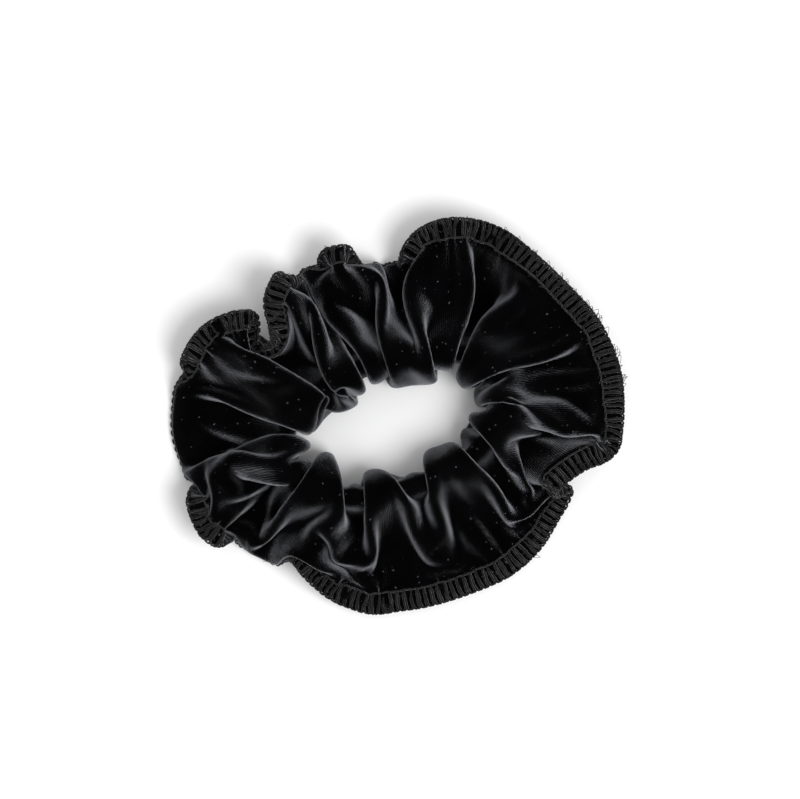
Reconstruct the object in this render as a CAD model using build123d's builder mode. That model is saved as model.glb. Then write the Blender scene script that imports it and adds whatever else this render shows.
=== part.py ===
"""A gathered velvet hair scrunchie, lying flat, in millimetres with +Z up.

One strip of stretch velvet is folded lengthwise over a loop of braided elastic, and a three-thread
overlock seam along its two long edges closes it into a sleeve. The sleeve is about three times as
long as the elastic, so it gathers at the inner fold and ruffles at the sewn rim. The origin is
under the middle of the ring, on the surface that it lies on.
"""

import os
from math import cos, hypot, radians, sin

from build123d import *

# ---- The hair opening: a tilted oval -------------------------------------------------------
CENTRE = (0.0, -2.0)  # the opening's middle, from the middle of the whole ring
OPENING_LONG = 20.4  # half of its length
OPENING_SHORT = 8.3  # half of its width
TILT = 20.0  # degrees, from +X

# ---- The sewn rim: radius from CENTRE and height of the seam, every STEP degrees from +X ----
RIM = [
    (53.4, 15), (54.0, 11), (53.0, 9), (51.7, 11), (52.3, 15), (49.8, 12),
    (39.6, 6), (43.2, 14), (42.5, 8), (42.2, 15), (49.0, 8), (52.3, 7),
    (53.3, 6), (51.6, 7), (51.4, 13), (43.6, 7), (42.2, 9), (43.6, 7),
    (44.3, 5), (42.8, 5), (43.3, 7), (44.6, 8), (44.4, 6), (46.5, 11),
]
STATIONS = len(RIM)
STEP = 360 / STATIONS

# ---- The velvet sleeve ----------------------------------------------------------------------
VELVET = 0.8  # thickness of the cloth with its pile
GATHERED = 2.6  # thickness that the gathered cloth fills at each side of the sleeve
TIP_INSET = 5.0  # inset at which the sleeve's upper and lower line would meet at the hem
FOLD_TOP = 20.0  # height of the gathers over the elastic
SHOULDER = 7.5  # from the inner fold to where the gathers are highest
WAIST = 0.62  # where the sleeve narrows towards the hem, as a share of its width
HEM = 4.3  # width of the overlock seam
BELOW = 0.8  # how far the underside bulges past the surface before it is pressed flat

# ---- The elastic: flat braid, standing on edge in the inner fold ------------------------------
ELASTIC_IN = 6.8  # from the opening's edge to the middle of the elastic
ELASTIC_WIDTH = 6.0
ELASTIC_THICK = 1.2
ELASTIC_Z = 6.4  # height of its lower edge
SHEATH = 0.3  # thickness of the braid around the rubber
CORES = 6  # rubber threads in the braid
CORE_DIAMETER = 0.5
CORE_PITCH = 0.85
LAP = 22.5  # degrees of the oval over which the two ends lie on each other
LAP_GAP = 0.1  # between the two ends
LAP_RUN_IN = 60.0  # degrees over which the last stretch moves inwards
LAP_POINTS = 35  # along the elastic's whole length

# ---- The threads ------------------------------------------------------------------------------
THREAD = 0.35
CLEARANCE = 0.05  # between a thread and what it lies on
NEEDLE_IN = 4.1  # from the rim to the needle thread
LOOPER_IN = 3.6  # from the rim to the inner ends of the looper threads
TACK_HEIGHT = 4.0  # of the zigzag that joins the elastic's ends
TACK_LEGS = 6
JOIN_ANGLE = 60.0  # where the strip's two short ends are sewn together
JOIN_SHARE = 0.26  # of the way from one wall of the sleeve to the other, for those stitches
JOIN_PLACES = (0.3, 0.45, 0.6, 0.75, 0.85)  # along the wall, from the hem to the inner fold


def opening_radius(angle):
    """Distance from CENTRE to the opening's edge, in a direction given in degrees."""
    turn = radians(angle - TILT)
    return OPENING_LONG * OPENING_SHORT / hypot(OPENING_SHORT * cos(turn), OPENING_LONG * sin(turn))


def station(angle):
    """The upright plane through CENTRE in that direction: local x runs outwards, local y is up."""
    out = radians(angle)
    return Plane(
        origin=(CENTRE[0], CENTRE[1], 0),
        x_dir=(cos(out), sin(out), 0),
        z_dir=(sin(out), -cos(out), 0),
    )


def sleeve_curves(angle, inset):
    """The sleeve's upper and lower line in one station, moved inwards by inset."""
    radius, height = RIM[round(angle / STEP) % STATIONS]
    inner = opening_radius(angle)
    seam = radius - HEM
    waist = inner + WAIST * (seam - inner)
    top = Spline(
        (seam - 2 * inset, height + VELVET * (1 - inset / TIP_INSET)),
        (waist, 0.5 * FOLD_TOP + 0.45 * height - inset),
        (inner + SHOULDER, FOLD_TOP - inset),
        (inner + inset, FOLD_TOP / 2),
        tangents=((-1, 0.25), (0, -1)),
    )
    bottom = Spline(
        top @ 1,
        (inner + SHOULDER, inset - BELOW),
        (waist, 0.25 * height + inset - BELOW),
        (seam - 2 * inset, height - VELVET * (1 - inset / TIP_INSET)),
        tangents=((0, -1), (1, 0.25)),
    )
    return radius, height, top, bottom


def sleeve_outline(angle):
    """The outline of the whole sleeve with its flat hem."""
    with BuildLine() as outline:
        radius, height, top, bottom = sleeve_curves(angle, 0)
        Polyline(bottom @ 1, (radius, height - VELVET), (radius, height + VELVET), top @ 0)
    return outline.line


def cavity_outline(angle):
    """The outline of the space inside the sleeve."""
    with BuildLine() as outline:
        radius, height, top, bottom = sleeve_curves(angle, GATHERED)
        Line(bottom @ 1, top @ 0)
    return outline.line


def hem_band(*corners):
    """Draws a thin band by its corners: distance in from the rim, height over the hem's middle."""

    def outline(angle):
        radius, height = RIM[round(angle / STEP) % STATIONS]
        with BuildLine() as band:
            Polyline(*[(radius - inwards, height + up) for inwards, up in corners], close=True)
        return band.line

    return outline


def half_rings(outline):
    """The faces inside outline(angle) at every station, as the sections of two half rings."""
    faces = []
    for place in range(STATIONS + 1):
        with BuildSketch(station(place * STEP)) as face:
            make_face(outline(place * STEP))
        faces.append(face.sketch)
    return faces[: STATIONS // 2 + 1], faces[STATIONS // 2 :]


def oval_plane(height):
    """The level plane at that height whose local x runs along the opening."""
    turn = radians(TILT)
    return Plane(origin=(CENTRE[0], CENTRE[1], height), x_dir=(cos(turn), sin(turn), 0))


def oval_point(turn, offset_out):
    """A point in an oval_plane that lies offset_out from the elastic's middle line."""
    outwards = ELASTIC_IN + offset_out
    return (OPENING_LONG + outwards) * cos(turn), (OPENING_SHORT + outwards) * sin(turn)


def strip_points(offset_out):
    """Points along the elastic, which goes once round and ends inside its own start."""
    points = []
    for place in range(LAP_POINTS):
        turned = place * (360 + LAP) / (LAP_POINTS - 1)
        inwards = min(1, max(0, 1 - (360 - turned) / LAP_RUN_IN)) * (ELASTIC_THICK + LAP_GAP)
        points.append(oval_point(radians(90 - LAP / 2 + turned), offset_out - inwards))
    return points


def strip_outline(half_thickness):
    """The elastic's outline from above."""
    with BuildLine() as outline:
        outside = Spline(*strip_points(half_thickness))
        inside = Spline(*strip_points(-half_thickness))
        Line(outside @ 0, inside @ 0)
        Line(outside @ 1, inside @ 1)
    return outline.line


# ---- Velvet cover: the sleeve with its flat hem, hollow for the elastic ---------------------------
with BuildPart() as velvet_cover:
    for sections in half_rings(sleeve_outline):
        loft(sections, ruled=True)
    split(bisect_by=Plane.XY, keep=Keep.TOP)
    for sections in half_rings(cavity_outline):
        loft(sections, ruled=True, mode=Mode.SUBTRACT)
velvet_cover.part.label = "velvet_cover"

# ---- Overlock seam: its three threads, round the whole hem ---------------------------------------
on_top = VELVET + CLEARANCE
with BuildPart() as overlock_needle_thread:
    needle = hem_band(
        (NEEDLE_IN, on_top),
        (NEEDLE_IN - THREAD, on_top),
        (NEEDLE_IN - THREAD, on_top + THREAD),
        (NEEDLE_IN, on_top + THREAD),
    )
    for sections in half_rings(needle):
        loft(sections, ruled=True)
overlock_needle_thread.part.label = "overlock_needle_thread"

with BuildPart() as overlock_upper_looper_thread:
    upper_looper = hem_band(
        (LOOPER_IN, on_top),
        (0, on_top),
        (0, on_top + THREAD),
        (LOOPER_IN, on_top + THREAD),
    )
    for sections in half_rings(upper_looper):
        loft(sections, ruled=True)
overlock_upper_looper_thread.part.label = "overlock_upper_looper_thread"

with BuildPart() as overlock_lower_looper_thread:
    lower_looper = hem_band(
        (LOOPER_IN, -on_top),
        (-CLEARANCE, -on_top),
        (-CLEARANCE, on_top + THREAD),
        (-CLEARANCE - THREAD, on_top + THREAD),
        (-CLEARANCE - THREAD, -on_top - THREAD),
        (LOOPER_IN, -on_top - THREAD),
    )
    for sections in half_rings(lower_looper):
        loft(sections, ruled=True)
overlock_lower_looper_thread.part.label = "overlock_lower_looper_thread"

# ---- End seam: the stitches that join the strip's short ends, inside the sleeve --------------------
radius, height, top, bottom = sleeve_curves(JOIN_ANGLE, GATHERED)
across = [(top @ place, bottom @ (1 - place)) for place in JOIN_PLACES]
upper = [tuple(high + (low - high) * JOIN_SHARE) for high, low in across]
lower = [tuple(low + (high - low) * JOIN_SHARE) for high, low in across]
with BuildPart() as end_seam_thread:
    with BuildLine(station(JOIN_ANGLE)) as seam_path:
        Spline(*upper, *reversed(lower), periodic=True)
    with BuildSketch(Plane(origin=seam_path.line @ 0, z_dir=seam_path.line % 0)):
        Circle(THREAD / 2)
    sweep(path=seam_path.line)
end_seam_thread.part.label = "end_seam_thread"

# ---- Elastic: the braid, its rubber threads and the zigzag that joins its two ends -----------------
with BuildPart() as elastic_braid:
    with BuildSketch(oval_plane(ELASTIC_Z)):
        make_face(strip_outline(ELASTIC_THICK / 2))
    extrude(amount=ELASTIC_WIDTH)
    with BuildSketch(oval_plane(ELASTIC_Z + SHEATH)):
        make_face(strip_outline(ELASTIC_THICK / 2 - SHEATH))
    extrude(amount=ELASTIC_WIDTH - 2 * SHEATH, mode=Mode.SUBTRACT)
elastic_braid.part.label = "elastic_braid"

elastic_middle = ELASTIC_Z + ELASTIC_WIDTH / 2
with BuildPart() as elastic_rubber_threads:
    for row in range(CORES):
        core_height = elastic_middle + CORE_PITCH * (row - (CORES - 1) / 2)
        with BuildLine(oval_plane(core_height)) as core_path:
            Spline(*strip_points(0))
        with BuildSketch(Plane(origin=core_path.line @ 0, z_dir=core_path.line % 0)):
            Circle(CORE_DIAMETER / 2)
        sweep(path=core_path.line)
elastic_rubber_threads.part.label = "elastic_rubber_threads"

beside = ELASTIC_THICK / 2 + CLEARANCE + THREAD / 2
with BuildPart() as elastic_splice_thread:
    for offset_out in (beside, -beside - ELASTIC_THICK - LAP_GAP):
        corners = []
        for leg in range(TACK_LEGS + 1):
            turn = radians(90 + 0.8 * LAP * (leg / TACK_LEGS - 0.5))
            along, across = oval_point(turn, offset_out)
            up = TACK_HEIGHT / 2 if leg % 2 else -TACK_HEIGHT / 2
            corners.append((along, across, up))
        with BuildLine(oval_plane(elastic_middle)) as tack_path:
            FilletPolyline(*corners, radius=THREAD)
        with BuildSketch(Plane(origin=tack_path.line @ 0, z_dir=tack_path.line % 0)):
            Circle(THREAD / 2)
        sweep(path=tack_path.line)
elastic_splice_thread.part.label = "elastic_splice_thread"

# ---- One file for each piece -----------------------------------------------------------------------
os.makedirs("parts", exist_ok=True)
for piece in (
    velvet_cover,
    overlock_needle_thread,
    overlock_upper_looper_thread,
    overlock_lower_looper_thread,
    end_seam_thread,
    elastic_braid,
    elastic_rubber_threads,
    elastic_splice_thread,
):
    export_step(piece.part, f"parts/{piece.part.label}.step")
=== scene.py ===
"""The looks of a black velvet scrunchie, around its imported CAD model. Lengths are in millimetres
until a mesh is made, where MM turns them into metres."""

import bpy
import numpy as np
from math import cos, pi, radians, sin
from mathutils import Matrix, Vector


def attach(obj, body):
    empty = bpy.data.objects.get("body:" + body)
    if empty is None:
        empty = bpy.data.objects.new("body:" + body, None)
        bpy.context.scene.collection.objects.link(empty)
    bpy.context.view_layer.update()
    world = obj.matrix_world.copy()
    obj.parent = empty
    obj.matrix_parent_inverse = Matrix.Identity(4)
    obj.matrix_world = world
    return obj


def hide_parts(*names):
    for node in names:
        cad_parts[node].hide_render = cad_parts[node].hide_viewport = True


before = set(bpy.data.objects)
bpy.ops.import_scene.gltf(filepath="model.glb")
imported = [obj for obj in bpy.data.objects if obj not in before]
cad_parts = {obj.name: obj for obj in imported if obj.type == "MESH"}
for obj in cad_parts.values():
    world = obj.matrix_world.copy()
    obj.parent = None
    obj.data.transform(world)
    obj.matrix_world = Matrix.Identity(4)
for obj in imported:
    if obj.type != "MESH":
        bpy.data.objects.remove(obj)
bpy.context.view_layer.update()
MM = 0.001

# ---- Sizes -----------------------------------------------------------------------------------
STRIP_LENGTH = 411.0  # of the velvet strip, round the rim
STRIP_WIDTH = 82.0  # across it, from one raw edge to the other
STITCHES = 238  # round the rim, 1.7 mm apart
LOOPER_RADIUS = 0.23
NEEDLE_RADIUS = 0.20
NEEDLE_LINE = 4.15  # from the rim to the needle's stitches
LOOSE_RADIUS = 0.055
LOOSE_LOOPS = 60
LINT_SIZE = 0.11  # radius of a speck, in cells 1.6 mm across
LINT_SHARE = 0.5  # of the cells hold one
STRAY_FIBRES = 900
SEAM_START = 6.0  # from the raw edges to the end seam's two ends
SEAM_DEPTH = 0.6  # of the end seam's thread under the cloth's middle surface
VIEW_TILT = 3.0  # degrees from straight above
VIEW_WIDTH = 0.188  # metres across the picture at the scrunchie
COLUMNS = 240  # grid of the cloth: columns round the ring, rows across the strip
ROWS = 45
HEM = 4.3  # width of the overlock seam
VELVET = 0.8  # thickness of the cloth
MESH_THICKNESS = 0.7  # of its mesh, a little thinner than the cloth
HEM_GAP = 0.9  # between the middle surfaces of the hem's two layers
EASE = 1.02  # the strip's length over the rim's
CENTRE = np.array([0.0, -2.0, 0.0])  # of the opening
OPENING = (20.4, 8.3)  # half lengths of the oval opening
TILT = radians(20)  # of its long axis from +X
ELASTIC_OUT = 6.8  # from the opening's edge to the elastic's middle line
ELASTIC_MID = 9.4  # its height
ELASTIC_HALF = (1.6, 4.0)  # half thickness and half height of the space that it needs

# ---- The cloth's starting shape ----------------------------------------------------------------
SLEEVE_HALF = 8.5  # half height of the sleeve round the elastic
INNER_REACH = 5.0  # from the elastic's middle line inwards to the inner fold
NOSE = 0.3  # share of each layer that turns round the elastic
CLOSED_FROM = 0.88  # share of the way to the rim from which the two layers lie together
TUCK_FROM, TUCK_REST = 0.857, 0.143  # share of that way where a tucked hem turns, and what is left
TUCK_HEIGHT = 4.0  # of the edge over a tucked hem
PLEAT = (0.030, 0.055)  # least and most length of a pleat, as a share of the ring
PLEAT_HEIGHT = 3.0
RIDGE_HEIGHT, RIDGE_WIDTH = 5.0, 1.6
CREASE_DEPTH, CREASE_WIDTH = 3.0, 2.0
VALLEY = 1.2  # depth of the cloth between the ridges

# ---- The solver, in mm a step, and in shares of an error that a pass takes away ----------------
GRAVITY = 0.012
KEPT_SPEED = 0.9  # share of the speed that the next step keeps
TOP_SPEED = 0.5
BEND = 0.10
SHEAR = 0.35
CONTACT = 0.35
RIM_PULL = 0.35
NEEDLE_PULL = 0.15
LIFT, RIDGE_REACH = 0.18, 3.5  # rise along the ridges, and how far from them
DRAW = 0.06  # share of the way to the ridge
SINK = 0.03  # fall of the upper side away from the ridges
PRESS, CREASE_REACH = 0.15, 3.0  # fall along the creases, and how far from them
CALMING = 8  # smoothing passes over the settled cloth

# ---- Light ---------------------------------------------------------------------------------------
KEY_AT, KEY_SIZE, KEY_POWER = (0.38, -0.27, 0.76), 0.45, 5.4  # metres and watts
SKY_LIGHT = 0.77
FLOOR_GREY = 0.92

# The sewn rim, clockwise from the end seam: x, y, z, the direction from CENTRE, in degrees, of the
# gathers that the cloth there runs to, and how flat the hem lies there: 1 is face up, -1 tucked under.
RIM = [
    (28.1, 41.9, 10, 44, 1), (31.5, 39, 11, 42, 1), (36.1, 34.9, 11, 40, 1), (41.7, 29.3, 11, 37, 1),
    (46.9, 23.4, 11, 34, 1), (50.6, 16.6, 11, 31, 1), (52.8, 9.8, 11, 28, 1), (53.4, 3.4, 10, 25, 1),
    (53.2, -2.7, 9, 22, 1), (52.3, -7.6, 8, 19, 1), (49.2, -10.5, 9, 16, 1), (45, -12.1, 11, 13, 1),
    (40.8, -14.9, 12.5, 10, 1), (37.4, -17.9, 12, 7, 0.3), (38.6, -18.6, 8, 5, 0),
    (41.6, -17.2, 4.5, 3, 0), (40.6, -20.4, 3.5, 0, 0.5), (38.9, -23.1, 3.5, -5, 1),
    (34.2, -30.7, 4, -18, 1), (27.1, -37, 4.5, -33, 1), (17.7, -41.2, 4, -52, 1),
    (8.3, -44.1, 4, -80, 1), (1.3, -45.2, 4, -95, 1), (-5.8, -45.9, 4, -108, 1),
    (-14, -43.1, 4.5, -125, 1), (-18, -40.3, 6, -134, 0.6), (-20.8, -37.7, 8, -140, 0.3),
    (-23.1, -34.8, 10, -145, 0.3), (-24.3, -32.6, 8, -149, 0), (-25.2, -31.2, 4, -152, -0.4),
    (-27, -30.3, 2, -154, -1), (-29.5, -28.9, 1.3, -156, -1), (-32.2, -27.4, 1.3, -158, -1),
    (-34.8, -26.4, 2, -160, -0.6), (-37.8, -28.2, 5, -162, 0.3), (-40.5, -30.2, 9, -163, 1),
    (-43.1, -29.7, 10, -165, 1), (-45.7, -27.1, 10, -166, 1), (-47.4, -23.6, 10, -168, 1),
    (-48.3, -20.1, 10, -169, 1), (-47.6, -17, 8, -170, 0.3), (-45, -14.4, 3.5, -171, -0.4),
    (-46, -9.5, 1.5, -173, -1), (-48.4, -3, 1.3, -177, -1), (-48.2, 3, 1.4, -180, -1),
    (-48, 8, 3, -182, -0.5), (-49.9, 12.4, 7, -184, 0.6), (-48.5, 16.2, 10, -186, 1),
    (-45, 20.6, 11, -188, 1), (-40.1, 23.4, 11, -190, 1), (-35.1, 24.6, 11, -192, 1),
    (-32.5, 23.6, 11, -195, 1), (-32.1, 20.8, 10, -197, 0.8), (-32.5, 17.5, 9, -199, 0.3),
    (-30.7, 15.4, 10, -201, 0.3), (-28.3, 16.8, 12, -203, 0.3), (-29, 20.8, 14, -205, 0.3),
    (-30.2, 25.5, 15, -207, 0.3), (-29.3, 30.2, 14, -210, 0.3), (-27.1, 33.5, 12, -212, 0.3),
    (-24.6, 31.4, 8, -215, 0), (-22.4, 29.6, 2.5, -219, -1), (-19.4, 30.4, 2.5, -223, -1),
    (-18, 35, 8, -226, 0), (-16.8, 38.4, 11, -229, 1), (-13.7, 39.6, 12, -234, 1),
    (-10.5, 39.4, 11, -240, 1), (-8.6, 36, 8, -245, 0.2), (-6.2, 32.4, 3, -251, -0.7),
    (-2.4, 31.8, 1.6, -262, -1), (1.0, 33.6, 3, -274, -0.4), (1.8, 38.4, 8, -281, 0.7),
    (4.1, 42.2, 10, -286, 1), (8.3, 45, 11, -292, 1), (13.5, 46.2, 11, -298, 1),
    (18.9, 45.9, 10, -304, 1), (24.3, 44.3, 9, -310, 1),
]

# The fold ridges on the upper side, as lines in plan, from the rim to the opening.
RIDGES = [
    [(-22.9, 31.8), (-17.7, 26.7), (-14.2, 19.4), (-11.9, 11.9), (-9.8, 4.6)],
    [(-7.6, 34.9), (-7.2, 28.3)],
    [(-3.2, 28.1), (2.0, 14.9), (5.1, 7.6)],
    [(2.7, 27.4), (6.0, 20.3), (6.9, 11.4)],
    [(15.9, 24.8), (11.9, 20.1), (10.5, 11.9)],
    [(26.7, 36.3), (22.4, 28.8), (18.2, 21.5), (15.2, 15.6), (14.7, 11.2)],
    [(35.4, 31.6), (31.4, 28.8), (23.4, 20.8), (19.9, 14.5)],
    [(19.6, 9.8), (24.1, 13.3), (28.6, 14.2), (33.5, 14.5), (38.0, 12.8), (45.9, 12.8)],
    [(29.3, 4.3), (44.8, 5.3)],
    [(21.7, 7.6), (30.7, 3.9), (40.3, -1.3), (48.3, -6.9)],
    [(24.8, 4.6), (28.6, -1.3), (30.9, -6.5), (31.8, -11.6), (36.5, -16.8)],
    [(11.6, -13.7), (18.2, -13.7), (24.1, -17.7), (30.7, -21.5)],
    [(17.5, -27.8), (20.1, -23.1), (24.8, -20.8), (29.5, -22.4)],
    [(9.3, -12.6), (9.3, -26.2), (14.2, -32.8), (21.3, -40.3)],
    [(0.6, -22.4), (6.5, -30.7), (14.2, -38.7)],
    [(-4.3, -12.6), (-5.1, -19.6), (-5.3, -28.3), (-7.2, -36.5)],
    [(-10.5, -10.7), (-11.6, -18.2), (-13.3, -20.8)],
    [(-17.0, -10.2), (-18.4, -19.6)],
    [(-12.3, -20.8), (-16.3, -23.4)],
    [(-17.7, -36.5), (-12.3, -29.3), (-16.3, -26.7), (-22.2, -29.0)],
    [(-36.3, -29.0), (-31.1, -25.5), (-28.1, -19.6), (-22.2, -10.0), (-20.8, -6.5)],
    [(-45.7, -16.8), (-38.7, -16.3), (-29.5, -17.5)],
    [(-40.5, -11.9), (-33.3, -9.3), (-26.9, -3.6), (-23.1, -3.2)],
    [(-45.0, 2.5), (-38.4, 3.2), (-32.5, 2.0), (-25.3, -2.7)],
    [(-37.0, 14.9), (-33.5, 7.4), (-28.1, 2.7)],
    [(-28.8, 7.4), (-23.6, 2.0), (-19.9, -2.0)],
    [(3.9, 25.5), (2.7, 20.8), (4.8, 15.6)],
]

# The deep creases beside them.
CREASES = [
    [(28.3, 42.0), (24.9, 33.0), (19.5, 22.0), (16.8, 13.0)],
    [(25.5, 10.4), (32.0, 10.2), (46.0, 9.6)],
    [(21.0, 2.5), (25.0, -3.0), (28.0, -10.0)],
    [(17.0, -18.0), (22.5, -18.5), (26.5, -17.5)],
    [(-24.5, -9.0), (-30.0, -19.0), (-36.5, -25.5)],
    [(-33.0, 18.0), (-27.0, 9.0), (-21.0, 3.5)],
]


# ---- Curves ------------------------------------------------------------------------------------
def smooth_loop(points, samples, turn=0.0):
    """A closed Catmull-Rom curve through points, as that many samples at equal arc lengths, and its
    length. turn is what one lap adds to the fourth column."""
    points = np.array(points, float)
    count = len(points)
    lap = np.zeros(points.shape[1])
    lap[3] = turn

    def at(place):
        return points[place % count] + lap * (place // count)

    dense = []
    for i in range(count):
        a, b, c, d = at(i - 1), at(i), at(i + 1), at(i + 2)
        for t in np.arange(0, 1, 0.05):
            dense.append(
                b + 0.5 * t * (c - a + t * (2 * a - 5 * b + 4 * c - d + t * (3 * (b - c) + d - a)))
            )
    dense.append(at(count))
    dense = np.array(dense)
    steps = np.linalg.norm(np.diff(dense[:, :3], axis=0), axis=1)
    along = np.concatenate([[0], np.cumsum(steps)])
    wanted = np.linspace(0, along[-1], samples, endpoint=False)
    return np.stack([np.interp(wanted, along, c) for c in dense.T], axis=1), along[-1]


def oval(direction, outwards):
    """Points of the oval that lies that far outside the opening's edge, by direction in degrees,
    and the outward normals there."""
    turn = np.radians(direction) - TILT
    a, b = OPENING[0] + outwards, OPENING[1] + outwards
    phase = np.arctan2(a * np.sin(turn), b * np.cos(turn))
    x, y = a * np.cos(phase), b * np.sin(phase)
    nx, ny = b * np.cos(phase), a * np.sin(phase)
    size = np.hypot(nx, ny)
    c, s = cos(TILT), sin(TILT)
    points = np.stack([x * c - y * s, x * s + y * c, 0 * x], axis=-1) + CENTRE
    normals = np.stack([nx * c - ny * s, nx * s + ny * c, 0 * x], axis=-1) / size[..., None]
    return points, normals


def line_distance(lines, x, y):
    """Distance in plan to the nearest of the lines, and the way to it."""
    best = np.full(x.shape, 1e9)
    way = np.zeros(x.shape + (2,))
    for line in lines:
        for (ax, ay), (bx, by) in zip(line, line[1:]):
            dx, dy = bx - ax, by - ay
            t = np.clip(((x - ax) * dx + (y - ay) * dy) / (dx * dx + dy * dy), 0, 1)
            ox, oy = ax + t * dx - x, ay + t * dy - y
            d = np.hypot(ox, oy)
            closer = d < best
            best = np.where(closer, d, best)
            way[closer] = np.stack([ox, oy], axis=-1)[closer]
    return best, way


# ---- The cloth, settled by position-based dynamics ------------------------------------------------
def outward_normals(cloth):
    """Unit normals of the grid that point out of the sleeve."""
    normal = np.cross(np.gradient(cloth, axis=1), np.roll(cloth, -1, 0) - np.roll(cloth, 1, 0))
    return normal / (np.linalg.norm(normal, axis=2, keepdims=True) + 1e-9)


def grid_links(columns, rows, step_u, step_v):
    """Pairs of grid points that far apart, in sets that share no point."""
    i, j = np.meshgrid(np.arange(columns), np.arange(rows), indexing="ij")
    i2, j2 = (i + step_u) % columns, j + step_v
    good = (j2 >= 0) & (j2 < rows)
    key = (i // step_u if step_u else j // abs(step_v)) % 2
    sets = []
    for parity in (0, 1):
        mask = good & (key == parity)
        sets.append((i[mask] * rows + j[mask], i2[mask] * rows + j2[mask]))
    return sets


def rim_line(columns):
    """The rim, its length, the gather's direction, how flat the hem lies and the way inwards."""
    rim, rim_length = smooth_loop(RIM, columns, turn=-360.0)
    near = max(1, round(2.5 * columns / rim_length))
    along = np.roll(rim, -near, 0) - np.roll(rim, near, 0)
    inward = np.stack([along[:, 1], -along[:, 0], 0 * along[:, 0]], axis=1)
    inward /= np.linalg.norm(inward, axis=1, keepdims=True) + 1e-9
    return rim[:, :3], rim_length, rim[:, 3], rim[:, 4:].clip(-1, 1), inward


def first_shape(columns, rows, rng):
    """The sleeve before it settles: two layers from the rim to the elastic, joined round it."""
    rim, _, direction, flat, inward = rim_line(columns)
    tuck = np.clip(-flat, 0, 1)
    edge = rim - inward * HEM
    edge[:, 2] = TUCK_HEIGHT
    fold_points, fold_normals = oval(direction, ELASTIC_OUT)
    u = np.arange(columns) / columns
    pleats = [0.0]
    while pleats[-1] < 1:
        pleats.append(pleats[-1] + rng.uniform(*PLEAT))
    pleats = np.array(pleats) / pleats[-1]
    wave = np.cos(2 * pi * np.interp(u, pleats, np.arange(len(pleats))))
    P = np.zeros((columns, rows, 3))
    N = np.zeros((columns, rows, 3))
    v = np.linspace(-1, 1, rows)
    for j, place in enumerate(v):
        share = abs(place)
        side = 1 if place < 0 else -1
        if share < NOSE:
            angle = 0.5 * pi * share / NOSE
            base = fold_points + fold_normals * (SLEEVE_HALF * (1 - cos(angle)) - INNER_REACH)
            base[:, 2] = ELASTIC_MID + side * SLEEVE_HALF * sin(angle)
            normal = -fold_normals * cos(angle)
            normal[:, 2] = side * sin(angle)
        else:
            t = (share - NOSE) / (1 - NOSE)
            start = fold_points + fold_normals * (SLEEVE_HALF - INNER_REACH)
            base = start + (rim - start) * t
            half = SLEEVE_HALF * (0.5 + 0.5 * cos(pi * min(1, t / CLOSED_FROM))) + HEM_GAP / 2
            base[:, 2] = ELASTIC_MID + (rim[:, 2] - ELASTIC_MID) * t + side * half
            turned = np.clip((t - TUCK_FROM) / TUCK_REST, 0, 1)
            under = start + (edge - start) * min(1, t / TUCK_FROM) + (rim - edge) * turned
            under[:, 2] += ELASTIC_MID * (1 - min(1, t / TUCK_FROM)) + side * half * cos(pi * turned)
            base += (under - base) * tuck
            normal = np.zeros((columns, 3))
            normal[:, 2] = side
        P[:, j] = base
        N[:, j] = normal
    share = np.abs(v)
    # pleats at the inner fold, ridges on the upper side
    fade = np.clip((1 - share) / 0.9, 0, 1) ** 0.7
    waves = wave[:, None] * PLEAT_HEIGHT * fade[None, :]
    distance, _ = line_distance(RIDGES, P[..., 0], P[..., 1])
    depth, _ = line_distance(CREASES, P[..., 0], P[..., 1])
    ridge = RIDGE_HEIGHT * np.exp(-((distance / RIDGE_WIDTH) ** 2))
    crest = ridge - VALLEY - CREASE_DEPTH * np.exp(-((depth / CREASE_WIDTH) ** 2))
    upper = np.clip((-v - 0.12) / 0.15, 0, 1) * np.clip((1 - share) / 0.12, 0, 1)
    waves = waves * (1 - upper) + crest * upper
    P += N * waves[..., None]
    P[..., 2] = np.maximum(P[..., 2], VELVET / 2)
    return P


def finer(G):
    """The same cloth on a grid with twice the columns and nearly twice the rows."""
    before, after, beyond = np.roll(G, 1, 0), np.roll(G, -1, 0), np.roll(G, -2, 0)
    between = (-before + 9 * G + 9 * after - beyond) / 16
    wide = np.stack([G, between], axis=1).reshape(-1, *G.shape[1:])
    middle = (wide[:, :-1] + wide[:, 1:]) / 2
    middle[:, 1:-1] = (-wide[:, :-3] + 9 * wide[:, 1:-2] + 9 * wide[:, 2:-1] - wide[:, 3:]) / 16
    tall = np.zeros((wide.shape[0], 2 * wide.shape[1] - 1, 3))
    tall[:, 0::2] = wide
    tall[:, 1::2] = middle
    return tall


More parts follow.
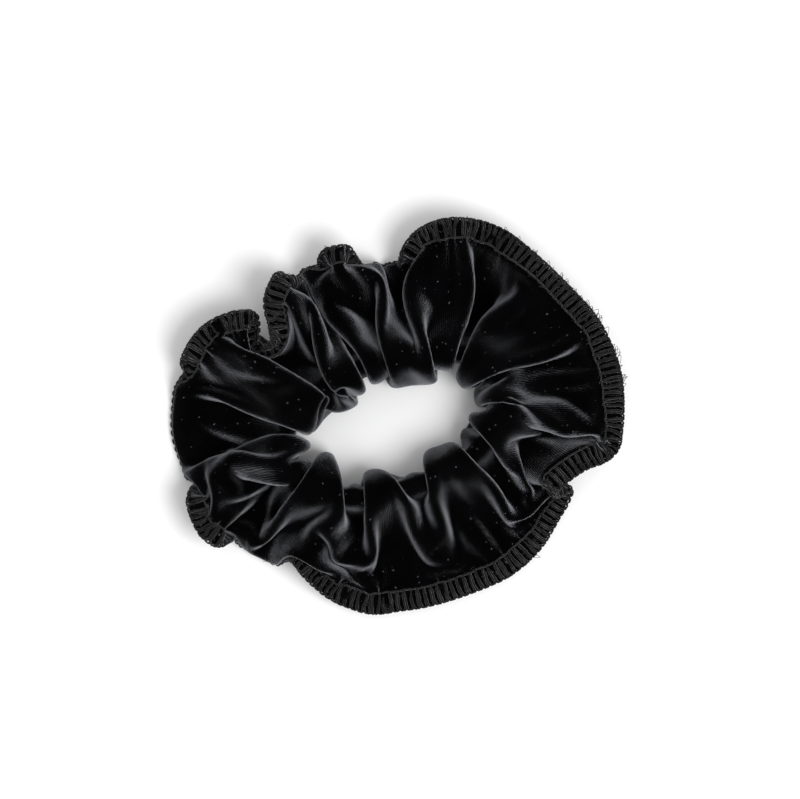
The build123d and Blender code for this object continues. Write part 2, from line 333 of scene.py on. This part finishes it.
def relax(G, steps, grow_steps, guide_steps, pressure, reach, sweeps):
    """The cloth after that many steps. Its links grow to their flat length over grow_steps, the
    ridges and creases guide it for guide_steps, and reach is the least gap between its layers."""
    columns, rows = G.shape[:2]
    P = G.reshape(-1, 3).copy()
    rim, rim_length, _, flat, inward = rim_line(columns)
    strip = rim_length * EASE
    step_u, step_v = strip / columns, STRIP_WIDTH / (rows - 1)
    links = []

    def add(pairs, rest, stiff, push=False):
        for a, b in pairs:
            now = np.linalg.norm(P[a] - P[b], axis=1)
            links.append((a, b, now, rest, stiff, push))

    diagonal = float(np.hypot(step_u, step_v))
    add(grid_links(columns, rows, 4, 0), 3.8 * step_u, BEND / 4, True)
    add(grid_links(columns, rows, 2, 0), 2 * step_u, BEND, True)
    add(grid_links(columns, rows, 0, 2), 2 * step_v, BEND, True)
    add(grid_links(columns, rows, 1, 1), diagonal, SHEAR)
    add(grid_links(columns, rows, 1, -1), diagonal, SHEAR)
    add(grid_links(columns, rows, 1, 0), step_u, 1.0)
    add(grid_links(columns, rows, 0, 1), step_v, 1.0)

    ids = np.arange(columns * rows).reshape(columns, rows)
    hem_rows = round(HEM / step_v) + 1
    sewn = (ids[:, :hem_rows].ravel(), ids[:, ::-1][:, :hem_rows].ravel())
    rim_top, rim_bottom = ids[:, 0], ids[:, -1]
    needle_top, needle_bottom = ids[:, hem_rows - 1], ids[:, rows - hem_rows]
    needle = rim + inward * np.sign(flat) * (hem_rows - 1) * step_v * 0.98
    needle[:, 2:] += 0.6 * (flat > 0)
    share = np.abs(np.linspace(-1, 1, rows))
    side = np.where(np.linspace(-1, 1, rows) < 0, 1.0, -1.0)
    share_all, side_all = np.tile(share, columns), np.tile(side, columns)
    free_upper = ((side_all > 0) & (share_all > 0.16) & (share_all < 0.9)).nonzero()[0]
    grid_i, grid_j = np.repeat(np.arange(columns), rows), np.tile(np.arange(rows), columns)
    V = np.zeros_like(P)
    pairs = None
    for step in range(steps):
        grow = min(1.0, (step + 1) / grow_steps)
        old = P.copy()
        P = P + KEPT_SPEED * V
        P[:, 2] -= GRAVITY
        cloth = P.reshape(columns, rows, 3)
        P += (outward_normals(cloth) * pressure).reshape(-1, 3)
        if step < guide_steps:
            if step % 8 == 0:
                distance, way = line_distance(RIDGES, P[free_upper, 0], P[free_upper, 1])
                near = np.clip(1 - distance / RIDGE_REACH, 0, 1)
                depth, _ = line_distance(CREASES, P[free_upper, 0], P[free_upper, 1])
                low = np.clip(1 - depth / CREASE_REACH, 0, 1)
            P[free_upper, 2] += LIFT * near - SINK - PRESS * low
            P[free_upper, :2] += DRAW * way * (near > 0)[:, None]
        if step % 4 == 0:
            pairs = near_pairs(P, reach + 0.3, grid_i, grid_j, columns, rows, hem_rows)
        for _ in range(sweeps):
            for a, b, now, rest, stiff, push in links:
                want = now + (rest - now) * grow
                d = P[b] - P[a]
                length = np.sqrt(np.einsum("ij,ij->i", d, d)) + 1e-9
                off = length - want
                if push:
                    off = np.minimum(off, 0)
                d *= (0.5 * stiff * off / length)[:, None]
                P[a] += d
                P[b] -= d
            a, b = sewn
            d = P[b] - P[a]
            length = np.sqrt(np.einsum("ij,ij->i", d, d)) + 1e-9
            d *= (0.5 * (length - HEM_GAP) / length)[:, None]
            P[a] += d
            P[b] -= d
            pull = (rim - 0.5 * (P[rim_top] + P[rim_bottom])) * RIM_PULL
            P[rim_top] += pull
            P[rim_bottom] += pull
            off_line = needle - 0.5 * (P[needle_top] + P[needle_bottom])
            pull = off_line * NEEDLE_PULL * abs(flat)
            P[needle_top] += pull
            P[needle_bottom] += pull
        a, b = pairs
        d = P[b] - P[a]
        length = np.sqrt(np.einsum("ij,ij->i", d, d)) + 1e-9
        d *= (CONTACT * np.minimum(length - reach, 0) / length)[:, None]
        for axis in range(3):
            P[:, axis] += np.bincount(a, d[:, axis], len(P)) - np.bincount(b, d[:, axis], len(P))
        keep_off_elastic(P, share_all, side_all)
        P[:, 2] = np.maximum(P[:, 2], VELVET / 2)
        V = P - old
        speed = np.linalg.norm(V, axis=1, keepdims=True)
        V *= np.minimum(1, TOP_SPEED / (speed + 1e-9))
    return P.reshape(columns, rows, 3)


def keep_off_elastic(P, share, side):
    """Moves the points out of the elastic's space, half of the way each time."""
    c, s = cos(TILT), sin(TILT)
    flat_x, flat_y = P[:, 0] - CENTRE[0], P[:, 1] - CENTRE[1]
    x, y = flat_x * c + flat_y * s, flat_y * c - flat_x * s
    a, b = OPENING[0] + ELASTIC_OUT, OPENING[1] + ELASTIC_OUT
    q = np.hypot(x / a, y / b) + 1e-9
    gx, gy = x / a**2, y / b**2
    size = np.hypot(gx, gy) + 1e-9
    out = (q - 1) * q / size
    nx, ny = gx / size, gy / size
    rise = P[:, 2] - ELASTIC_MID
    # the inner fold stays inside the elastic's loop
    inner = (share < 0.09) & (np.abs(rise) < ELASTIC_HALF[1])
    push = np.where(inner, np.minimum(0, -ELASTIC_HALF[0] - out), 0)
    # the two sides pass over and under it
    over = (share >= 0.09) & (share < 0.5) & (np.abs(out) < ELASTIC_HALF[0] + 0.3)
    lift = np.where(over, side * np.maximum(0, ELASTIC_HALF[1] - side * rise), 0)
    P[:, 0] += 0.5 * push * (nx * c - ny * s)
    P[:, 1] += 0.5 * push * (nx * s + ny * c)
    P[:, 2] += 0.5 * lift


def near_pairs(P, reach, grid_i, grid_j, columns, rows, hem_rows):
    """Pairs of points within reach that aren't neighbours in the cloth or sewn together."""
    cell = np.floor(P / reach).astype(np.int64) + 512
    key = (cell[:, 0] << 40) | (cell[:, 1] << 20) | cell[:, 2]
    order = np.argsort(key, kind="stable")
    sorted_key = key[order]
    found_a, found_b = [], []
    places = np.arange(len(key))
    for dx in (0, 1):
        for dy in (-1, 0, 1):
            for dz in (-1, 0, 1):
                if (dx, dy, dz) < (0, 0, 0):
                    continue
                target = sorted_key + (dx << 40) + (dy << 20) + dz
                low = np.searchsorted(sorted_key, target, "left")
                high = np.searchsorted(sorted_key, target, "right")
                if (dx, dy, dz) == (0, 0, 0):
                    low = places + 1
                count = np.maximum(high - low, 0)
                total = int(count.sum())
                first = np.repeat(places, count)
                start = np.repeat(low - np.concatenate([[0], np.cumsum(count)[:-1]]), count)
                found_a.append(order[first])
                found_b.append(order[start + np.arange(total)])
    a, b = np.concatenate(found_a), np.concatenate(found_b)
    di = np.abs(grid_i[a] - grid_i[b])
    di = np.minimum(di, columns - di)
    dj = np.abs(grid_j[a] - grid_j[b])
    hem_a = np.minimum(grid_j[a], rows - 1 - grid_j[a]) <= hem_rows
    hem_b = np.minimum(grid_j[b], rows - 1 - grid_j[b]) <= hem_rows
    sewn = hem_a & hem_b & (dj > rows // 2) & (di < 8)
    keep = ((di > 2) | (dj > 2)) & ~sewn & (((P[a] - P[b]) ** 2).sum(1) < reach * reach)
    return a[keep], b[keep]


def calm(G):
    """The same cloth, smoothed, without its smallest wrinkles, which thick pile doesn't take."""
    columns, rows = G.shape[:2]
    hem_rows = round(HEM * (rows - 1) / STRIP_WIDTH) + 1
    free = np.zeros(rows)
    free[hem_rows : rows - hem_rows] = 1
    free = np.convolve(free, np.ones(5) / 5, "same") * free
    for _ in range(CALMING):
        across = np.zeros_like(G)
        across[:, 1:-1] = G[:, :-2] + G[:, 2:]
        mean = (np.roll(G, 1, 0) + np.roll(G, -1, 0) + across) / 4
        G = G + 0.5 * free[None, :, None] * (mean - G)
    place = np.linspace(-1, 1, rows)
    share, side = np.abs(place), np.where(place < 0, 1.0, -1.0)
    P = G.reshape(-1, 3).copy()
    keep_off_elastic(P, np.tile(share, columns), np.tile(side, columns))
    P[:, 2] = np.maximum(P[:, 2], VELVET / 2)
    return P.reshape(G.shape)


def settle():
    """The finished cloth: a coarse grid is gathered under guidance, then a finer one moves freely."""
    rng = np.random.default_rng(7)
    G = first_shape(COLUMNS, ROWS, rng)
    G = relax(G, steps=300, grow_steps=160, guide_steps=260, pressure=0.004, reach=1.8, sweeps=3)
    G = relax(finer(G), steps=90, grow_steps=1, guide_steps=0, pressure=0.001, reach=1.25, sweeps=3)
    return calm(G)


# ---- Meshes --------------------------------------------------------------------------------------
def grid_mesh(name, cloth):
    """A closed ring of quads over the grid, with one UV unit for each millimetre of cloth."""
    columns, rows = cloth.shape[:2]
    ids = np.arange(columns * rows).reshape(columns, rows)
    after = np.roll(ids, -1, 0)
    faces = np.stack([ids[:, :-1], after[:, :-1], after[:, 1:], ids[:, 1:]], axis=-1)
    mesh = bpy.data.meshes.new(name)
    mesh.from_pydata((cloth.reshape(-1, 3) * MM).tolist(), [], faces.reshape(-1, 4).tolist())
    i, j = np.meshgrid(np.arange(columns), np.arange(rows - 1), indexing="ij")
    corners = np.stack([[i, j], [i + 1, j], [i + 1, j + 1], [i, j + 1]]).transpose(2, 3, 0, 1)
    size = np.array([STRIP_LENGTH / columns, STRIP_WIDTH / (rows - 1)])
    uv = mesh.uv_layers.new(name="cloth_mm")
    uv.data.foreach_set("uv", (corners * size).reshape(-1).astype(np.float32))
    mesh.shade_smooth()
    piece = bpy.data.objects.new(name, mesh)
    bpy.context.scene.collection.objects.link(piece)
    return piece


def tube_mesh(name, runs, radius, sides=6):
    """Round tubes along runs, each a list of points and of normals to start the sections from."""
    vertices, faces = [], []
    turn = np.arange(sides) * 2 * pi / sides
    base = 0
    for points, ups, closed in runs:
        points, ups = np.asarray(points), np.asarray(ups)
        if closed:
            along = np.roll(points, -1, 0) - np.roll(points, 1, 0)
        else:
            along = np.gradient(points, axis=0)
        along /= np.linalg.norm(along, axis=1, keepdims=True) + 1e-12
        across = np.cross(along, ups)
        across /= np.linalg.norm(across, axis=1, keepdims=True) + 1e-12
        up = np.cross(across, along)
        ring = across[:, None] * np.cos(turn)[:, None] + up[:, None] * np.sin(turn)[:, None]
        vertices.append((points[:, None] + radius * ring).reshape(-1, 3))
        count = len(points)
        ids = base + np.arange(count * sides).reshape(count, sides)
        after = np.roll(ids, -1, 0) if closed else ids[1:]
        here = ids if closed else ids[:-1]
        quads = np.stack([here, after, np.roll(after, -1, 1), np.roll(here, -1, 1)], axis=-1)
        faces += quads.reshape(-1, 4).tolist()
        if not closed:
            faces += [ids[0][::-1].tolist(), ids[-1].tolist()]
        base += count * sides
    mesh = bpy.data.meshes.new(name)
    mesh.from_pydata((np.concatenate(vertices) * MM).tolist(), [], faces)
    mesh.shade_smooth()
    piece = bpy.data.objects.new(name, mesh)
    bpy.context.scene.collection.objects.link(piece)
    return piece


class Hem:
    """Places on the overlocked hem. around counts stitches, and across is the distance in from the
    rim."""

    def __init__(self, cloth):
        self.cloth = cloth
        self.columns, self.rows = cloth.shape[:2]
        self.step = STRIP_WIDTH / (self.rows - 1)
        self.normal = outward_normals(cloth)

    def sample(self, grid, column, row):
        c0, r0 = np.floor(column).astype(int), np.floor(row).astype(int)
        r0 = np.clip(r0, 0, self.rows - 2)
        fc, fr = (column - c0)[:, None], (row - r0)[:, None]
        c0, c1 = c0 % self.columns, (c0 + 1) % self.columns
        near = grid[c0, r0] * (1 - fr) + grid[c0, r0 + 1] * fr
        far = grid[c1, r0] * (1 - fr) + grid[c1, r0 + 1] * fr
        return near * (1 - fc) + far * fc

    def place(self, around, across, height, upper=True):
        """Points over the cloth's middle surface and the outward normals there. Past the rim, the
        points turn round the raw edges."""
        column = np.asarray(around, float) / STITCHES * self.columns
        across, height = np.asarray(across, float), np.asarray(height, float)
        inside = np.maximum(across, 0) / self.step
        row = inside if upper else self.rows - 1 - inside
        points = self.sample(self.cloth, column, row)
        normals = self.sample(self.normal, column, row)
        rim_top = self.sample(self.cloth, column, 0 * row)
        rim_low = self.sample(self.cloth, column, 0 * row + self.rows - 1)
        inner = self.sample(self.cloth, column, 0 * row + 2)
        outward = rim_top - inner
        outward /= np.linalg.norm(outward, axis=1, keepdims=True) + 1e-9
        middle = 0.5 * (rim_top + rim_low)
        edge = (across < 0)[:, None]
        points = np.where(edge, middle - outward * across[:, None], points)
        points = points + normals * height[:, None]
        points[:, 2] = np.maximum(points[:, 2], LOOPER_RADIUS + 0.02)
        return points, normals


def spline_run(points, ups, per=4):
    """The closed run with per points along each of its spans, on a Catmull-Rom curve."""
    a, b = np.roll(points, 1, 0), points
    c, d = np.roll(points, -1, 0), np.roll(points, -2, 0)
    e, f = ups, np.roll(ups, -1, 0)
    out, out_ups = [], []
    for t in np.arange(per) / per:
        out.append(b + 0.5 * t * (c - a + t * (2 * a - 5 * b + 4 * c - d + t * (3 * (b - c) + d - a))))
        out_ups.append(e * (1 - t) + f * t)
    stack = np.stack(out, axis=1).reshape(-1, 3)
    return stack, np.stack(out_ups, axis=1).reshape(-1, 3), True


def looper_thread(hem, rng, upper):
    """One zigzag from the needle line to the rim and back for each stitch."""
    pattern = [  # (place along the stitch, distance in from the rim, height over the cloth)
        (0.00, 4.0, 0.45), (0.10, 3.2, 0.66), (0.13, 1.8, 0.74), (0.14, 0.5, 0.62),
        (0.20, -0.38, 0.15), (0.50, -0.30, -0.30), (0.80, -0.38, 0.15),
        (0.86, 0.5, 0.62), (0.87, 1.8, 0.74), (0.90, 3.2, 0.66),
    ]
    shift = 0.0 if upper else 0.5
    around, across, height = [], [], []
    for stitch in range(STITCHES):
        wide = 1 + rng.uniform(-0.05, 0.05)
        late = rng.uniform(-0.07, 0.07)
        for along, inwards, over in pattern:
            around.append(stitch + along + shift + late + rng.uniform(-0.02, 0.02))
            across.append(inwards * wide if inwards > 0 else inwards)
            height.append(over)
    points, normals = hem.place(around, across, height, upper)
    return spline_run(points, normals)


def needle_thread(hem):
    """Short straight stitches on the upper side, each between two needle holes."""
    around, height = [], []
    for stitch in range(STITCHES):
        for along, over in ((0.0, 0.0), (0.18, 0.60), (0.5, 0.85), (0.82, 0.60)):
            around.append(stitch + along)
            height.append(over)
    points, normals = hem.place(around, np.full(len(around), NEEDLE_LINE), height)
    return spline_run(points, normals, 3)


def end_seam(cloth):
    """The thread that joins the strip's two ends, on the inner side of the cloth."""
    rows = cloth.shape[1]
    first = round(SEAM_START / STRIP_WIDTH * (rows - 1))
    line = cloth[0, first : rows - first]
    normals = outward_normals(cloth)[0, first : rows - first]
    return line - normals * SEAM_DEPTH, normals, False


def loose_loops(hem, rng):
    """Slack loops and cut ends of looper thread where the overlock starts and ends."""
    runs = []
    for _ in range(LOOSE_LOOPS):
        start = rng.uniform(-2, 26) if rng.uniform() < 0.8 else rng.uniform(0, STITCHES)
        width, reach = rng.uniform(0.4, 1.8), rng.uniform(0.1, 1.2)
        lean, lift = rng.uniform(-1.2, 1.2), rng.uniform(-0.4, 1.0)
        t = np.linspace(0, 1, 13)
        around = start + width * (t - 0.5) + lean * np.sin(pi * t) + 0.25 * np.sin(7 * t + reach)
        across = 0.3 - (reach + 0.6) * np.sin(pi * t) + 0.2 * np.sin(9 * t + lean)
        points, normals = hem.place(around, across, 0.4 + lift * np.sin(pi * t))
        runs.append((points, normals, False))
    for _ in range(STRAY_FIBRES):
        start, inwards = rng.uniform(0, STITCHES), rng.uniform(0, 5)
        t = np.linspace(0, 1, 5)
        length, lean = rng.uniform(0.3, 1.1), rng.uniform(-0.6, 0.6)
        height = 0.45 + 0.5 * t * rng.uniform(0.2, 1)
        points, normals = hem.place(start + lean * t, inwards - length * t, height)
        runs.append((points, normals, False))
    return runs


# ---- Materials -------------------------------------------------------------------------------------
def node(tree, kind, inputs=None, **settings):
    """A new shader node with those inputs and settings."""
    made = tree.nodes.new(kind)
    for name, value in settings.items():
        setattr(made, name, value)
    for name, value in (inputs or {}).items():
        made.inputs[name].default_value = value
    return made


def two_colours(ramp, low, dark, high, light):
    """Sets a colour ramp's two ends, each a place and a colour."""
    for element, place, colour in zip(ramp.color_ramp.elements, (low, high), (dark, light)):
        element.position = place
        element.color = (*colour, 1)


def velvet_material():
    """Black velvet: almost all of its light is the sheen of the pile."""
    material = bpy.data.materials.new("velvet")
    material.use_nodes = True
    tree = material.node_tree
    shader = tree.nodes["Principled BSDF"]
    shader.inputs["Roughness"].default_value = 0.7
    shader.inputs["Specular IOR Level"].default_value = 0.015
    shader.inputs["Sheen Weight"].default_value = 1.0
    shader.inputs["Sheen Roughness"].default_value = 0.23
    shader.inputs["Sheen Tint"].default_value = (0.75, 0.77, 0.83, 1)
    place = node(tree, "ShaderNodeUVMap", uv_map="cloth_mm")
    solid = node(tree, "ShaderNodeTexCoord")
    # pile: fine tufts
    tufts = node(tree, "ShaderNodeTexNoise", {"Scale": 1.9, "Detail": 3.0, "Roughness": 0.9})
    tree.links.new(place.outputs["UV"], tufts.inputs["Vector"])
    # knit: wales across the strip
    wales = node(
        tree, "ShaderNodeTexWave", {"Scale": 0.60, "Distortion": 1.0, "Detail": 1.0, "Detail Scale": 2.0},
        bands_direction="X",
    )
    tree.links.new(place.outputs["UV"], wales.inputs["Vector"])
    # crushed areas of the pile, a little paler
    crushed = node(tree, "ShaderNodeTexNoise", {"Scale": 140.0, "Detail": 4.0, "Roughness": 0.6})
    tree.links.new(solid.outputs["Object"], crushed.inputs["Vector"])
    height = node(tree, "ShaderNodeMath", operation="ADD")
    half = node(tree, "ShaderNodeMath", {1: 0.4}, operation="MULTIPLY")
    tree.links.new(wales.outputs["Fac"], half.inputs[0])
    tree.links.new(tufts.outputs["Fac"], height.inputs[0])
    tree.links.new(half.outputs[0], height.inputs[1])
    bump = node(tree, "ShaderNodeBump", {"Strength": 1.0, "Distance": 0.0002})
    tree.links.new(height.outputs[0], bump.inputs["Height"])
    tree.links.new(bump.outputs["Normal"], shader.inputs["Normal"])
    shade = node(tree, "ShaderNodeValToRGB")
    two_colours(shade, 0.35, (0.0001, 0.0001, 0.00015), 0.75, (0.0012, 0.0012, 0.0017))
    tree.links.new(crushed.outputs["Fac"], shade.inputs["Fac"])
    # lint: a pale speck in some cells of a fine Voronoi pattern
    ragged = node(tree, "ShaderNodeTexNoise", {"Scale": 2.6, "Detail": 2.0})
    tree.links.new(place.outputs["UV"], ragged.inputs["Vector"])
    moved = node(tree, "ShaderNodeVectorMath", {3: 0.9}, operation="SCALE")
    tree.links.new(ragged.outputs["Color"], moved.inputs[0])
    shifted = node(tree, "ShaderNodeVectorMath", operation="ADD")
    tree.links.new(place.outputs["UV"], shifted.inputs[0])
    tree.links.new(moved.outputs[0], shifted.inputs[1])
    cells = node(tree, "ShaderNodeTexVoronoi", {"Scale": 0.62})
    tree.links.new(shifted.outputs[0], cells.inputs["Vector"])
    small = node(tree, "ShaderNodeMath", {1: LINT_SIZE}, operation="LESS_THAN")
    tree.links.new(cells.outputs["Distance"], small.inputs[0])
    split = node(tree, "ShaderNodeSeparateColor")
    tree.links.new(cells.outputs["Color"], split.inputs["Color"])
    chosen = node(tree, "ShaderNodeMath", {1: LINT_SHARE}, operation="LESS_THAN")
    tree.links.new(split.outputs["Red"], chosen.inputs[0])
    speck = node(tree, "ShaderNodeMath", operation="MULTIPLY")
    tree.links.new(small.outputs[0], speck.inputs[0])
    tree.links.new(chosen.outputs[0], speck.inputs[1])
    lint = node(tree, "ShaderNodeMix", data_type="RGBA")
    lint.inputs[7].default_value = (0.09, 0.09, 0.10, 1)
    tree.links.new(speck.outputs[0], lint.inputs[0])
    tree.links.new(shade.outputs["Color"], lint.inputs[6])
    tree.links.new(lint.outputs[2], shader.inputs["Base Color"])
    return material


def thread_material(name, dark, light, sheen):
    """Fuzzy yarn, its colour a noise from dark to light: the yarn's own uneven tone, with painted shade
    between the fibres and painted light on them.
    """
    material = bpy.data.materials.new(name)
    material.use_nodes = True
    tree = material.node_tree
    shader = tree.nodes["Principled BSDF"]
    shader.inputs["Roughness"].default_value = 0.7
    shader.inputs["Specular IOR Level"].default_value = 0.15
    shader.inputs["Sheen Weight"].default_value = sheen
    shader.inputs["Sheen Roughness"].default_value = 0.35
    place = node(tree, "ShaderNodeTexCoord")
    fibres = node(tree, "ShaderNodeTexNoise", {"Scale": 3000.0, "Detail": 3.0, "Roughness": 0.7})
    tree.links.new(place.outputs["Object"], fibres.inputs["Vector"])
    shade = node(tree, "ShaderNodeValToRGB")
    # the ramp's dark end is partly painted shade between the fibres, its light end partly painted light
    # on them
    two_colours(shade, 0.42, dark, 0.68, light)
    tree.links.new(fibres.outputs["Fac"], shade.inputs["Fac"])
    tree.links.new(shade.outputs["Color"], shader.inputs["Base Color"])
    bump = node(tree, "ShaderNodeBump", {"Strength": 0.6, "Distance": 0.0001})
    tree.links.new(fibres.outputs["Fac"], bump.inputs["Height"])
    tree.links.new(bump.outputs["Normal"], shader.inputs["Normal"])
    return material


# ---- Camera, light and floor ---------------------------------------------------------------------
def aim(thing, at, target):
    """Puts the thing in the scene at one place, turned towards another."""
    thing.location = at
    thing.rotation_euler = (Vector(target) - Vector(at)).to_track_quat("-Z", "Y").to_euler()
    bpy.context.scene.collection.objects.link(thing)


def area_light(name, at, size, power):
    """A square lamp that shines on the origin."""
    lamp = bpy.data.lights.new(name, "AREA")
    lamp.energy, lamp.size = power, size
    aim(bpy.data.objects.new(name, lamp), at, (0, 0, 0))


lens = bpy.data.cameras.new("camera")
lens.lens, lens.sensor_width = 180, 36
camera = bpy.data.objects.new("camera", lens)
middle = Vector((0.0013, 0.0040, 0.008))
view = Vector((0.0, -sin(radians(VIEW_TILT)), cos(radians(VIEW_TILT))))
aim(camera, middle + view * (VIEW_WIDTH * lens.lens / lens.sensor_width), middle)
bpy.context.scene.camera = camera
bpy.context.scene.view_settings.view_transform = "Standard"

floor_mesh = bpy.data.meshes.new("floor")
floor_mesh.from_pydata([(-3, -3, 0), (3, -3, 0), (3, 3, 0), (-3, 3, 0)], [], [(0, 1, 2, 3)])
floor = bpy.data.objects.new("floor", floor_mesh)
bpy.context.scene.collection.objects.link(floor)
white = bpy.data.materials.new("floor_white")
white.use_nodes = True
paint = white.node_tree.nodes["Principled BSDF"]
paint.inputs["Base Color"].default_value = (FLOOR_GREY, FLOOR_GREY, FLOOR_GREY, 1)
paint.inputs["Roughness"].default_value = 0.9
paint.inputs["Specular IOR Level"].default_value = 0.0
floor.data.materials.append(white)

world = bpy.data.worlds.new("world")
world.use_nodes = True
world.node_tree.nodes["Background"].inputs["Color"].default_value = (1, 1, 1, 1)
world.node_tree.nodes["Background"].inputs["Strength"].default_value = SKY_LIGHT
bpy.context.scene.world = world
area_light("key", KEY_AT, KEY_SIZE, KEY_POWER)

# ---- The cover --------------------------------------------------------------------------------------
cloth = settle()
cover = grid_mesh("velvet_cloth", cloth)
thick = cover.modifiers.new("thickness", "SOLIDIFY")
thick.thickness, thick.offset = MESH_THICKNESS * MM, 0
fine = cover.modifiers.new("fine", "SUBSURF")
fine.levels = fine.render_levels = 1
cover.data.materials.append(velvet_material())
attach(cover, "root")
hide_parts("velvet_cover")

# ---- The seam ---------------------------------------------------------------------------------------
rng = np.random.default_rng(11)
hem = Hem(cloth)
# each yarn's dark and light colours are the ends of its colour noise: its own tone, with painted shade
# between the fibres and painted light on them
looper_yarn = thread_material("looper_yarn", (0.0005, 0.0005, 0.0007), (0.013, 0.013, 0.0150), 0.4)
sewing_thread = thread_material("sewing_thread", (0.003, 0.003, 0.0035), (0.026, 0.026, 0.029), 0.4)
upper_looper = tube_mesh("overlock_upper_looper", [looper_thread(hem, rng, True)], LOOPER_RADIUS)
lower_looper = tube_mesh("overlock_lower_looper", [looper_thread(hem, rng, False)], LOOPER_RADIUS)
needle = tube_mesh("overlock_needle", [needle_thread(hem)], NEEDLE_RADIUS)
loose = tube_mesh("overlock_loose_ends", loose_loops(hem, rng), LOOSE_RADIUS, 5)
end = tube_mesh("end_seam", [end_seam(cloth)], NEEDLE_RADIUS)
for piece, node_name, slot, yarn in (
    (upper_looper, "overlock_upper_looper_thread", "looper_thread", looper_yarn),
    (lower_looper, "overlock_lower_looper_thread", "looper_thread", looper_yarn),
    (needle, "overlock_needle_thread", "sewing_thread", sewing_thread),
    (loose, "overlock_upper_looper_thread", "looper_thread", looper_yarn),
    (end, "end_seam_thread", "sewing_thread", sewing_thread),
):
    piece.data.materials.append(yarn)
    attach(piece, "root")
    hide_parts(node_name)

# ---- The elastic's pieces keep their CAD shape ---------------------------------------------------------
# here too the dark and light colours hold painted shade and painted light as well as the yarn's own tone
elastic_yarn = thread_material("elastic_yarn", (0.008, 0.008, 0.008), (0.020, 0.020, 0.020), 0.2)
rubber = thread_material("rubber", (0.035, 0.031, 0.028), (0.050, 0.045, 0.040), 0.0)
for node_name, yarn in (
    ("elastic_braid", elastic_yarn),
    ("elastic_rubber_threads", rubber),
    ("elastic_splice_thread", sewing_thread),
):
    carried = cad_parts[node_name]
    carried.data.materials.clear()
    carried.data.materials.append(yarn)
